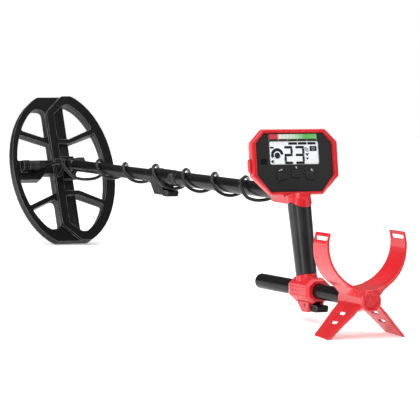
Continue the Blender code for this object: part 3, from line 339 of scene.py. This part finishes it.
def moulded(name, deep, light, edge_highlight_and_wear, gloss, grain, grain_height, shine, coat, corner):
    """Injection-moulded plastic: cloudy colour, a spark-eroded grain, handling scuffs, and edges painted
    paler in patches as a painted highlight.
    """
    paint = Paint(name)
    cloud = paint.spread(paint.noise(14.0, 4.0), 0.3, 0.7)
    base = paint.mix(cloud, deep, light)
    edge = paint.edges(corner)
    patchy = paint.spread(paint.noise(90.0, 3.0), 0.35, 0.65, 0.35, 1.0)
    # Edges painted paler in patches toward the third colour: a painted highlight along the edges, partly
    # wear.
    rub_and_highlight = paint.maths("MULTIPLY", edge, patchy)
    base = paint.mix(rub_and_highlight, base, edge_highlight_and_wear)
    scuff = paint.spread(paint.noise(40.0, 5.0, (1.0, 9.0, 3.0)), 0.60, 0.74)
    base = paint.mix(paint.maths("MULTIPLY", scuff, 0.05), base, edge_highlight_and_wear)
    smear = paint.spread(paint.noise(22.0, 3.0), 0.3, 0.7, gloss - 0.05, gloss + 0.07)
    rough = paint.maths("ADD", smear, paint.maths("MULTIPLY", scuff, 0.10))
    pits = paint.noise(grain, 2.0)
    normal = paint.bump(pits, grain_height, 0.55, paint.soft_edge(corner))
    paint.shader.inputs["Specular IOR Level"].default_value = shine
    paint.shader.inputs["Coat Weight"].default_value = coat
    paint.shader.inputs["Coat Roughness"].default_value = 0.12
    return paint.finish(base, rough, normal)


def tube_finish(name, deep, light, edge_highlight_and_wear, gloss):
    """A powder-coated or drawn tube: fine peel, rub marks that run along it, and edges painted paler as a
    painted highlight.
    """
    paint = Paint(name)
    along = paint.noise(60.0, 4.0, (0.12, 4.0, 4.0))
    base = paint.mix(paint.spread(along, 0.35, 0.7), deep, light)
    rub_and_highlight = paint.spread(paint.noise(34.0, 6.0, (0.25, 6.0, 6.0)), 0.62, 0.78)
    base = paint.mix(paint.maths("MULTIPLY", rub_and_highlight, 0.30), base, edge_highlight_and_wear)
    # Edges painted paler toward the third colour: a painted highlight along the tube's edges and ends.
    edge = paint.maths("MULTIPLY", paint.edges(0.0007), 0.7)
    base = paint.mix(edge, base, edge_highlight_and_wear)
    rough = paint.spread(paint.noise(26.0, 3.0), 0.3, 0.7, gloss - 0.05, gloss + 0.08)
    normal = paint.bump(paint.noise(1500.0, 2.0), 0.00006, 0.5, paint.soft_edge(0.0005))
    paint.shader.inputs["Specular IOR Level"].default_value = 0.11
    return paint.finish(base, rough, normal)


def rubber(name, deep, light, gloss, grain=1800.0, dusty=0.18):
    """Soft rubber: matt, finely grained, with a little dust in patches."""
    paint = Paint(name)
    base = paint.mix(paint.spread(paint.noise(60.0, 4.0), 0.35, 0.7), deep, light)
    dust = paint.maths("MULTIPLY", paint.spread(paint.noise(220.0, 3.0), 0.58, 0.75), dusty)
    base = paint.mix(dust, base, (0.09, 0.09, 0.088))
    rough = paint.spread(paint.noise(45.0, 3.0), 0.3, 0.7, gloss - 0.06, gloss + 0.08)
    normal = paint.bump(paint.noise(grain, 3.0), 0.00009, 0.6, paint.soft_edge(0.0006))
    paint.shader.inputs["Sheen Weight"].default_value = 0.02
    paint.shader.inputs["Specular IOR Level"].default_value = 0.25
    return paint.finish(base, rough, normal)


def foam():
    """The grip's dense closed-cell foam: pinholes and a soft skin."""
    paint = Paint("grip_foam")
    cloud = paint.spread(paint.noise(35.0, 4.0), 0.3, 0.7)
    base = paint.mix(cloud, (0.007, 0.007, 0.008), (0.016, 0.016, 0.017))
    cells = paint.add("ShaderNodeTexVoronoi")
    paint.feed(cells.inputs["Vector"], paint.place)
    cells.inputs["Scale"].default_value = 950.0
    holes = paint.spread(cells.outputs["Distance"], 0.08, 0.45)
    # Pinholes painted darker: painted shade in the pits.
    pinhole_shade = paint.maths("MULTIPLY", paint.maths("SUBTRACT", 1.0, holes), 0.35)
    base = paint.mix(pinhole_shade, base, (0.004, 0.004, 0.004))
    rough = paint.spread(paint.noise(18.0, 2.0), 0.3, 0.7, 0.26, 0.38)
    normal = paint.bump(holes, 0.00008, 0.5, paint.soft_edge(0.0008))
    return paint.finish(base, rough, normal)


def metal(name, deep, light, gloss, stretch):
    """Turned or drawn metal with fine tool marks, and edges painted paler as a painted highlight."""
    paint = Paint(name)
    marks = paint.noise(900.0, 3.0, stretch)
    base = paint.mix(marks, deep, light)
    # Edges painted paler: a painted highlight along them.
    base = paint.mix(paint.maths("MULTIPLY", paint.edges(0.0004), 0.5), base, (0.85, 0.85, 0.86))
    rough = paint.spread(paint.noise(160.0, 3.0), 0.3, 0.7, gloss - 0.06, gloss + 0.10)
    paint.shader.inputs["Metallic"].default_value = 1.0
    return paint.finish(base, rough, paint.bump(marks, 0.00004, 0.5, paint.soft_edge(0.0003)))


def wound_copper():
    """Enamelled wire laid side by side."""
    paint = Paint("winding_copper")
    wires = paint.noise(2600.0, 1.0, (0.15, 1.0, 1.0))
    base = paint.mix(wires, (0.30, 0.09, 0.03), (0.72, 0.30, 0.12))
    rough = paint.spread(paint.noise(300.0), 0.3, 0.7, 0.22, 0.40)
    paint.shader.inputs["Metallic"].default_value = 0.85
    return paint.finish(base, rough, paint.bump(wires, 0.0001, 0.8))


def clear_lens():
    """A thin clear window: mostly seen through, with a faint hard reflection."""
    paint = Paint("lens_clear")
    paint.tree.nodes.remove(paint.shader)
    through = paint.add("ShaderNodeBsdfTransparent")
    through.inputs["Color"].default_value = (0.97, 0.98, 0.98, 1.0)
    gloss = paint.add("ShaderNodeBsdfGlossy")
    rough = paint.spread(paint.noise(70.0, 4.0), 0.35, 0.75, 0.04, 0.12)
    paint.feed(gloss.inputs["Roughness"], rough)
    fresnel = paint.add("ShaderNodeFresnel")
    fresnel.inputs["IOR"].default_value = 1.35
    blend = paint.add("ShaderNodeMixShader")
    paint.feed(blend.inputs[0], paint.maths("MULTIPLY", fresnel.outputs[0], 0.6))
    paint.feed(blend.inputs[1], through.outputs[0])
    paint.feed(blend.inputs[2], gloss.outputs[0])
    output = next(node for node in paint.tree.nodes if node.type == "OUTPUT_MATERIAL")
    paint.feed(output.inputs["Surface"], blend.outputs[0])
    return paint.material


def display_glass():
    """The LCD cell: pale grey-white, slightly cloudy, with a fine mesh in it, and a faint glow in its own
    colour, painted light that brightens it.
    """
    paint = Paint("lcd_grey")
    base = paint.mix(paint.noise(25.0, 2.0), (0.72, 0.73, 0.76), (0.82, 0.83, 0.85))
    mesh = paint.noise(2200.0, 1.0)
    base = paint.mix(paint.maths("MULTIPLY", mesh, 0.10), base, (0.60, 0.62, 0.66))
    # Painted glow: the cell shines faintly in its own colour to look brighter, though it is no lamp.
    paint.feed(paint.shader.inputs["Emission Color"], base)
    paint.shader.inputs["Emission Strength"].default_value = 0.64
    return paint.finish(base, paint.spread(mesh, 0.3, 0.7, 0.30, 0.40), paint.bump(mesh, 0.00001, 0.4))


def ink(name, flat, gloss=0.45):
    """A printed colour with slightly uneven cover."""
    paint = Paint(name)
    speck = paint.spread(paint.noise(900.0, 3.0), 0.55, 0.8)
    dimmed = tuple(0.86 * channel for channel in flat)
    base = paint.mix(paint.maths("MULTIPLY", speck, 0.6), flat, dimmed)
    rough = paint.spread(paint.noise(120.0), 0.3, 0.7, gloss - 0.06, gloss + 0.06)
    return paint.finish(base, rough, paint.bump(paint.noise(1600.0), 0.00002, 0.4))


def scale_ink():
    """The target scale: red for the left fifth, white, then a fade into green, with faint plain ticks."""
    paint = Paint("scale_ink")
    parts = paint.add("ShaderNodeSeparateXYZ")
    paint.feed(parts.inputs[0], paint.place)
    across = paint.spread(parts.outputs["Y"], SCALE_LEFT, SCALE_RIGHT)
    ramp = paint.add("ShaderNodeValToRGB")
    stops = ((0.0, (0.62, 0.03, 0.05)), (0.185, (0.66, 0.04, 0.06)), (0.205, (0.80, 0.82, 0.80)),
             (0.52, (0.55, 0.76, 0.55)), (0.76, (0.10, 0.50, 0.09)), (1.0, (0.16, 0.56, 0.15)))
    cover = ramp.color_ramp
    cover.elements[0].position = stops[0][0]
    cover.elements[0].color = colour(stops[0][1])
    cover.elements[1].position = stops[-1][0]
    cover.elements[1].color = colour(stops[-1][1])
    for position, shade in stops[1:-1]:
        cover.elements.new(position).color = colour(shade)
    paint.feed(ramp.inputs[0], across)
    wave = paint.maths("SINE", paint.maths("MULTIPLY", parts.outputs["Y"], SCALE_TICK_PITCH))
    mark = paint.maths("MULTIPLY", paint.spread(wave, 0.35, 0.75), SCALE_TICK_SHARE)
    base = paint.mix(mark, ramp.outputs["Color"], (0.20, 0.26, 0.20))
    rough = paint.spread(paint.noise(200.0), 0.3, 0.7, 0.36, 0.46)
    return paint.finish(base, rough, paint.bump(paint.noise(1500.0), 0.00002, 0.4))


def circuit_green():
    """Solder mask over copper tracks."""
    paint = Paint("board_green")
    tracks = paint.add("ShaderNodeTexBrick")
    paint.feed(tracks.inputs["Vector"], paint.place)
    tracks.inputs["Scale"].default_value = 260.0
    tracks.inputs["Mortar Size"].default_value = 0.06
    tracks.inputs["Color1"].default_value = (0.006, 0.075, 0.024, 1.0)
    tracks.inputs["Color2"].default_value = (0.009, 0.095, 0.030, 1.0)
    tracks.inputs["Mortar"].default_value = (0.030, 0.190, 0.060, 1.0)
    rough = paint.spread(paint.noise(300.0), 0.3, 0.7, 0.28, 0.42)
    return paint.finish(tracks.outputs["Color"], rough, paint.bump(tracks.outputs["Fac"], 0.00006, 0.5))


def cell_wrap():
    """A battery's shrink sleeve: dark, with a pale band by its positive end."""
    paint = Paint("cell_grey")
    parts = paint.add("ShaderNodeSeparateXYZ")
    paint.feed(parts.inputs[0], paint.place)
    band = paint.spread(parts.outputs["Z"], CELL_BAND_LOW, CELL_BAND_HIGH)
    base = paint.mix(band, (0.045, 0.048, 0.055), (0.52, 0.40, 0.16))
    base = paint.mix(paint.maths("MULTIPLY", paint.noise(300.0, 4.0), 0.2), base, (0.20, 0.20, 0.20))
    rough = paint.spread(paint.noise(90.0), 0.3, 0.7, 0.24, 0.38)
    return paint.finish(base, rough, paint.bump(paint.noise(240.0), 0.00005, 0.4))


def floor_material():
    paint = Paint("pale_floor")
    base = paint.mix(paint.noise(3.0, 3.0), (0.90, 0.90, 0.90), (0.93, 0.93, 0.93))
    paint.feed(paint.shader.inputs["Emission Color"], base)
    paint.shader.inputs["Emission Strength"].default_value = FLOOR_GLOW
    paint.shader.inputs["Specular IOR Level"].default_value = 0.1
    return paint.finish(base, 0.8, paint.bump(paint.noise(60.0), 0.0004, 0.1))


def slot_materials():
    # In black, tube, panel and red the third colour is painted along the edges as a painted highlight, and is
    # also the colour of scuffs and rub marks.
    black = ((0.0032, 0.0033, 0.0036), (0.0066, 0.0067, 0.0073), (0.300, 0.303, 0.310))
    tube = ((0.0036, 0.0037, 0.0040), (0.0072, 0.0073, 0.0078), (0.036, 0.036, 0.037))
    panel = ((0.0150, 0.0163, 0.0163), (0.0205, 0.0218, 0.0218), (0.085, 0.087, 0.087))
    red = ((0.56, 0.0070, 0.0130), (0.70, 0.0130, 0.0210), (0.90, 0.110, 0.115))
    soft = ((0.009, 0.009, 0.010), (0.018, 0.018, 0.019))
    jacket = ((0.004, 0.004, 0.0045), (0.008, 0.008, 0.0086))
    return {
        "moulded_black": moulded("moulded_black", *black, 0.32, 1300.0, 0.00008, 0.11, 0.0, 0.0013),
        "panel_black": moulded("panel_black", *panel, 0.38, 1500.0, 0.00005, 0.25, 0.0, 0.0008),
        "moulded_red": moulded("moulded_red", *red, 0.30, 1100.0, 0.00004, 0.40, 0.25, 0.0010),
        "tube_black": tube_finish("tube_black", *tube, 0.25),
        "fibre_black": tube_finish("fibre_black", *tube, 0.28),
        "rubber_black": rubber("rubber_black", *soft, 0.50),
        "cable_black": rubber("cable_black", *jacket, 0.19, 2600.0, 0.05),
        "grip_black": foam(),
        "winding_copper": wound_copper(),
        "steel": metal("steel", (0.42, 0.42, 0.43), (0.66, 0.66, 0.67), 0.28, (1.0, 1.0, 8.0)),
        "lens_clear": clear_lens(),
        "lcd_grey": display_glass(),
        "board_green": circuit_green(),
        "cell_grey": cell_wrap(),
    }


# ---------------------------------------------------------------- finer copies of the frame's nodes

def refined(node, materials):
    """A copy of a node's solid with whole faces, rounded edges and smooth curved walls, in its place."""
    source = frame["nodes"][node]
    bm = bmesh.new()
    bm.from_mesh(source.data)
    bmesh.ops.remove_doubles(bm, verts=bm.verts, dist=MERGE_DISTANCE)
    bmesh.ops.dissolve_limit(bm, angle_limit=math.radians(FLAT_ANGLE), verts=bm.verts, edges=bm.edges)
    piece = mesh_object(node + "_finish", bm, materials[FINISHES.get(node, SLOT_OF[node])])
    piece.data.shade_smooth()
    piece.data.set_sharp_from_angle(angle=math.radians(SHARP_ANGLE))
    if node in EDGE_WIDTHS:
        rounding = piece.modifiers.new("rounded", "BEVEL")
        rounding.width = EDGE_WIDTHS[node]
        rounding.segments = ROUNDING_STEPS
        rounding.limit_method = "ANGLE"
        rounding.angle_limit = math.radians(SHARP_ANGLE)
        rounding.use_clamp_overlap = True
        rounding.harden_normals = True
    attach(piece, BODY_OF[node])
    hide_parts(node)
    return piece


def distance_from_axis(point):
    """How far a point lies from the armrest tube's axis."""
    place = SHAFT.inverted() @ point
    return math.hypot(place.y, place.z)


def blend_hub(piece):
    """Skins the armrest with an even mesh, so that its sheets flow into the hub in soft corners."""
    skin = piece.modifiers.new("skin", "REMESH")
    skin.mode = "VOXEL"
    skin.voxel_size = SKIN_STEP
    bpy.context.view_layer.update()
    shape = piece.evaluated_get(bpy.context.evaluated_depsgraph_get())
    mesh = bpy.data.meshes.new_from_object(shape)
    piece.modifiers.remove(skin)
    bm = bmesh.new()
    bm.from_mesh(mesh)
    near_hub = [vert for vert in bm.verts if HUB_BORE < distance_from_axis(vert.co) < HUB_REACH]
    axes = {"use_axis_x": True, "use_axis_y": True, "use_axis_z": True}
    for verts, passes in ((bm.verts[:], SKIN_PASSES), (near_hub, HUB_PASSES)):
        for _ in range(passes):
            bmesh.ops.smooth_vert(bm, verts=verts, factor=0.5, **axes)
    bm.to_mesh(mesh)
    bm.free()
    mesh.shade_smooth()
    piece.data = mesh


# ---------------------------------------------------------------- cable

def smooth_route(points, steps):
    """A Catmull-Rom curve through the points, with a number of steps between neighbours."""
    padded = [points[0] * 2 - points[1]] + list(points) + [points[-1] * 2 - points[-2]]
    route = []
    for i in range(1, len(padded) - 2):
        a, b, c, d = padded[i - 1:i + 3]
        for k in range(steps):
            t = k / steps
            route.append(0.5 * (2 * b + (c - a) * t + (2 * a - 5 * b + 4 * c - d) * t ** 2
                                + (3 * b - a - 3 * c + d) * t ** 3))
    route.append(points[-1])
    return route


def wrap_point(turn, part):
    """The place in the shaft frame after a share of one turn round the shaft, from its top."""
    after = min(turn + 1, len(WRAP_TOPS) - 1)
    angle = 2.0 * math.pi * part
    swing = (1.0 - math.cos(angle)) / 2.0
    ahead = part + TURN_SWEEPS[turn] * swing
    s = WRAP_TOPS[turn] + (WRAP_TOPS[after] - WRAP_TOPS[turn]) * ahead
    near_top = TOP_RADII[turn] if part < 0.5 else TOP_RADII[after]
    radius = near_top * (1.0 - swing) + BOTTOM_RADII[turn] * swing
    return Vector((s, radius * math.sin(angle), MAIN_AXIS_H + radius * math.cos(angle)))


def wrap_route():
    """All the turns, from the coil's end to the pod's."""
    route = []
    for turn in range(len(WRAP_TOPS) - 1):
        for k in range(POINTS_PER_TURN):
            route.append(wrap_point(turn, k / POINTS_PER_TURN))
    route.append(wrap_point(len(WRAP_TOPS) - 1, 0.0))
    return route


def sweep(name, points, radius, material):
    """A round tube along the points, closed at both ends, with smooth walls."""
    bm = bmesh.new()
    ahead = points[1:] + points[-1:]
    behind = points[:1] + points[:-1]
    ways = [(after - before).normalized() for after, before in zip(ahead, behind)]
    side = ways[0].orthogonal().normalized()
    rings = []
    for point, way in zip(points, ways):
        side = (side - way * side.dot(way)).normalized()
        other = way.cross(side)
        ring = []
        for k in range(CABLE_SIDES):
            turn = 2.0 * math.pi * k / CABLE_SIDES
            ring.append(bm.verts.new(point + radius * (math.cos(turn) * side + math.sin(turn) * other)))
        rings.append(ring)
    for near, far in zip(rings, rings[1:]):
        for k in range(CABLE_SIDES):
            j = (k + 1) % CABLE_SIDES
            bm.faces.new((near[k], near[j], far[j], far[k]))
    bm.faces.new(list(reversed(rings[0])))
    bm.faces.new(rings[-1])
    tube = mesh_object(name, bm, material)
    tube.data.shade_smooth()
    tube.data.set_sharp_from_angle(angle=math.radians(TUBE_END_ANGLE))
    return tube


def build_cable(material):
    """The coil lead, the turns round the shaft and the tail into the plug: one cable in three stretches."""
    to_shaft = SHAFT.inverted()
    turns = wrap_route()
    first_way = (turns[1] - turns[0]).normalized()
    last_way = (turns[-1] - turns[-2]).normalized()

    gland = to_shaft @ COIL @ Vector(GLAND_EXIT)
    gland_out = to_shaft @ COIL @ (Vector(GLAND_EXIT) - Vector((0.0, STUB, 0.0)))
    lead = [gland_out] + [Vector(point) for point in LEAD_POINTS] + [turns[0] - first_way * STUB]
    lead = [gland] + smooth_route(lead, ROUTE_STEPS) + [turns[0] - first_way * GAP]

    entry = to_shaft @ POD @ Vector(PLUG_END)
    entry_out = to_shaft @ POD @ (Vector(PLUG_END) + Vector((PLUG_STUB, 0.0, 0.0)))
    tail = [turns[-1] + last_way * STUB] + [Vector(point) for point in TAIL_POINTS] + [entry_out]
    tail = [turns[-1] + last_way * GAP] + smooth_route(tail, ROUTE_STEPS) + [entry]

    lead, turns, tail = ([SHAFT @ point for point in route] for route in (lead, turns, tail))
    lead_tube = sweep("cable_lead", lead, CABLE_R, material)
    turns_tube = sweep("cable_turns", turns, CABLE_R, material)
    tail_tube = sweep("cable_tail_end", tail, CABLE_R, material)
    for tube, node in zip((lead_tube, turns_tube, tail_tube), CABLE_NODES):
        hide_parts(node)
    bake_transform(lead_tube)
    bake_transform(turns_tube)
    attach(tail_tube, "root")


# ---------------------------------------------------------------- display and printing

def plates(name, outlines, back, material):
    """Thin printed shapes, given as (left, up) outlines in the pod frame, standing forward of back."""
    bm = bmesh.new()
    for outline in outlines:
        near = [bm.verts.new(POD @ Vector((back - INK, y, z))) for y, z in outline]
        far = [bm.verts.new(POD @ Vector((back, y, z))) for y, z in outline]
        bm.faces.new(near)
        bm.faces.new(list(reversed(far)))
        for k in range(len(outline)):
            j = (k + 1) % len(outline)
            bm.faces.new((near[k], far[k], far[j], near[j]))
    bmesh.ops.recalc_face_normals(bm, faces=bm.faces)
    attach(mesh_object(name, bm, material), "root")


def box(left, right, low, high):
    return [(left, low), (right, low), (right, high), (left, high)]


def round_box(left, right, low, high, radius, steps=5):
    """A rectangle with rounded corners."""
    points = []
    corners = ((left - radius, high - radius, 90.0), (left - radius, low + radius, 180.0),
               (right + radius, low + radius, 270.0), (right + radius, high - radius, 0.0))
    for y, z, start in corners:
        for k in range(steps + 1):
            turn = math.radians(start + 90.0 * k / steps)
            points.append((y - radius * math.cos(turn), z + radius * math.sin(turn)))
    return points


def disc(y, z, radius, steps=32):
    turns = [2.0 * math.pi * k / steps for k in range(steps)]
    return [(y - radius * math.cos(turn), z + radius * math.sin(turn)) for turn in turns]


def ring_part(y, z, inner, outer, start, end, steps=20):
    """A stretch of a ring as short four-sided pieces, its angles turning from the right over the top."""
    pieces = []
    for k in range(steps):
        a = math.radians(start + (end - start) * k / steps)
        b = math.radians(start + (end - start) * (k + 1) / steps)
        pieces.append([(y - inner * math.cos(a), z + inner * math.sin(a)),
                       (y - outer * math.cos(a), z + outer * math.sin(a)),
                       (y - outer * math.cos(b), z + outer * math.sin(b)),
                       (y - inner * math.cos(b), z + inner * math.sin(b))])
    return pieces


def bar(start, end, half, point):
    """A straight segment between two places, with pointed ends."""
    way = Vector((end[0] - start[0], end[1] - start[1])).normalized()
    side = Vector((-way.y, way.x)) * half
    a = Vector(start)
    b = Vector(end)
    return [tuple(p) for p in (a, a + way * point + side, b - way * point + side,
                               b, b - way * point - side, a + way * point - side)]


def digit(left, right, lit):
    """A seven-segment digit: t, m and b across, tl, tr, bl and br upright."""
    half = SEGMENT_HALF
    past = half + SEGMENT_GAP
    low = DIGITS_LOW
    high = DIGITS_HIGH
    middle = (low + high) / 2.0
    across = {"t": high, "m": middle, "b": low}
    upright = {
        "tl": ((left, high - past), (left, middle + past)),
        "tr": ((right, high - past), (right, middle + past)),
        "bl": ((left, middle - past), (left, low + past)),
        "br": ((right, middle - past), (right, low + past)),
    }
    strokes = []
    for name in lit:
        if name in across:
            height = across[name]
            strokes.append(bar((left + half, height), (right - half, height), half, ACROSS_POINT))
        else:
            strokes.append(bar(*upright[name], half, UPRIGHT_POINT))
    return strokes


def arrow_down(low, high, half):
    """A small triangle that points down."""
    return [(ARROW_MIDDLE - half, high), (ARROW_MIDDLE + half, high), (ARROW_MIDDLE, low)]


def build_display():
    """The lit segments behind the window."""
    back = LCD_FRONT - GAP / 3
    bars = [round_box(left, right, BARS_LOW, BARS_HIGH, 0.0005) for left, right in BAR_SPANS]
    digits = digit(0.0134, 0.0032, ("t", "tr", "m", "bl", "b"))
    digits += digit(-0.0044, -0.0154, ("t", "tr", "m", "br", "b"))
    dial = ring_part(*DIAL_CENTRE, 0.0056, 0.0100, 5.0, 205.0)
    dial += ring_part(*DIAL_CENTRE, 0.0052, 0.0056, 200.0, 350.0)
    dial.append(disc(*NEEDLE_CENTRE, NEEDLE_RADIUS))
    dash = round_box(0.0372, 0.0312, 0.0314, 0.0341, 0.0004)
    horn = [(0.0375, 0.0128), (0.0331, 0.0156), (0.0331, 0.0100)]
    horn_end = box(0.0326, 0.0317, 0.0107, 0.0149)
    small = [dash, horn, horn_end, arrow_down(0.0200, 0.0240, 0.0033), arrow_down(0.0146, 0.0180, 0.0027)]
    for k in range(3):
        top = HATCH_TOP - HATCH_STEP * k
        left = -0.0172 - 0.0006 * k
        small.append([(left, top), (-0.0240, top - 0.0030), (-0.0240, top - 0.0040), (left, top - 0.0009)])
    plates("lcd_segments", bars + digits + dial + small, back, ink("segment_ink", (0.012, 0.012, 0.014)))
    badge = [round_box(-0.0257, -0.0369, 0.0272, 0.0345, 0.0008)]
    plates("lcd_badge", badge, back, ink("badge_ink", (0.013, 0.013, 0.015)))
    ring = ring_part(*BADGE_CENTRE, 0.0016, 0.0023, 0.0, 360.0)
    plates("lcd_badge_ring", ring, LCD_FRONT - GAP, ink("badge_pale", (0.70, 0.71, 0.74)))


def build_printing():
    """The scale over the window, the marks by the buttons and the small dark window on the left."""
    front = PANEL_FRONT - GAP / 6
    plates("target_scale", [round_box(SCALE_LEFT, SCALE_RIGHT, 0.0447, 0.0515, 0.0008)], front, scale_ink())
    blocks = []
    ticks = []
    for k in range(5):
        left = BLOCKS_LEFT - BLOCK_STEP * k
        blocks.append(box(left, left - BLOCK_WIDTH, BLOCKS_LOW, BLOCKS_HIGH))
        ticks.append(box(left + TICK_LEFT, left + TICK_RIGHT, BLOCKS_LOW, TICKS_HIGH))
    ticks.append(box(-0.0364, -0.0370, BLOCKS_LOW, TICKS_HIGH))
    plates("scale_blocks", blocks, front, ink("block_ink", (0.016, 0.021, 0.012)))
    plates("scale_ticks", ticks, front, ink("tick_ink", (0.48, 0.49, 0.40)))
    left_mark = [bar((0.0262, -0.0006), (0.0236, 0.0008), 0.0005, 0.0003),
                 bar((0.0226, 0.0004), (0.0210, 0.0016), 0.0010, 0.0004)]
    middle_mark = [[(-0.0010, 0.0058), (-0.0026, 0.0052), (-0.0020, 0.0040), (-0.0030, 0.0036),
                    (-0.0016, 0.0018), (-0.0016, 0.0034), (-0.0006, 0.0038)]]
    right_mark = ring_part(-0.0259, 0.0004, 0.0008, 0.0014, 0.0, 360.0)
    right_mark.append(bar((-0.0270, -0.0006), (-0.0286, -0.0022), 0.0003, 0.0002))
    plates("button_marks", left_mark + middle_mark + right_mark, front, ink("mark_ink", (0.66, 0.66, 0.66)))
    sensor = round_box(0.0544, 0.0441, 0.0090, 0.0166, 0.0006)
    plates("sensor_window", [sensor], front, ink("sensor_ink", (0.004, 0.004, 0.005), 0.12))


# ---------------------------------------------------------------- assembly

EDGE_WIDTHS = {
    "coil_housing": 0.0009, "coil_skid_plate": 0.0003, "front_clamp": 0.0005, "rear_clamp": 0.0006,
    "pod_housing": 0.0007, "handle_core": 0.0008, "front_cam_lever": 0.0008, "rear_cam_lever": 0.0008,
    "face_panel": 0.0002, "button_left": 0.0004, "button_middle": 0.0004,
    "button_right": 0.0004, "power_button": 0.0006, "battery_door": 0.0006, "grip_sleeve": 0.0006,
    "shaft_tip": 0.0004, "hinge_bolt": 0.0004, "hinge_knob": 0.0005, "cable_gland": 0.0003,
    "cable_plug": 0.0003, "cable_socket": 0.0003, "tube_end_cap": 0.0005, "shaft_end_bush": 0.0003,
}
FINISHES = {                    # nodes whose finish differs from the rest of their slot
    "face_panel": "panel_black", "button_left": "panel_black", "button_middle": "panel_black",
    "button_right": "panel_black", "front_cam_pin": "moulded_black", "rear_cam_pin": "moulded_black",
}
CABLE_NODES = ("cable_coil_lead", "cable_wraps", "cable_tail")      # in the order of the lead, turns and tail


def main():
    for part in frame["record"]["subparts"]:
        SLOT_OF[part["node"]] = part["material_slot"]
    build_camera()
    build_studio()
    materials = slot_materials()
    pieces = {}
    for node in sorted(frame["nodes"]):
        if node not in CABLE_NODES:
            pieces[node] = refined(node, materials)
    blend_hub(pieces["armrest"])
    build_cable(materials["cable_black"])
    build_display()
    build_printing()


main()
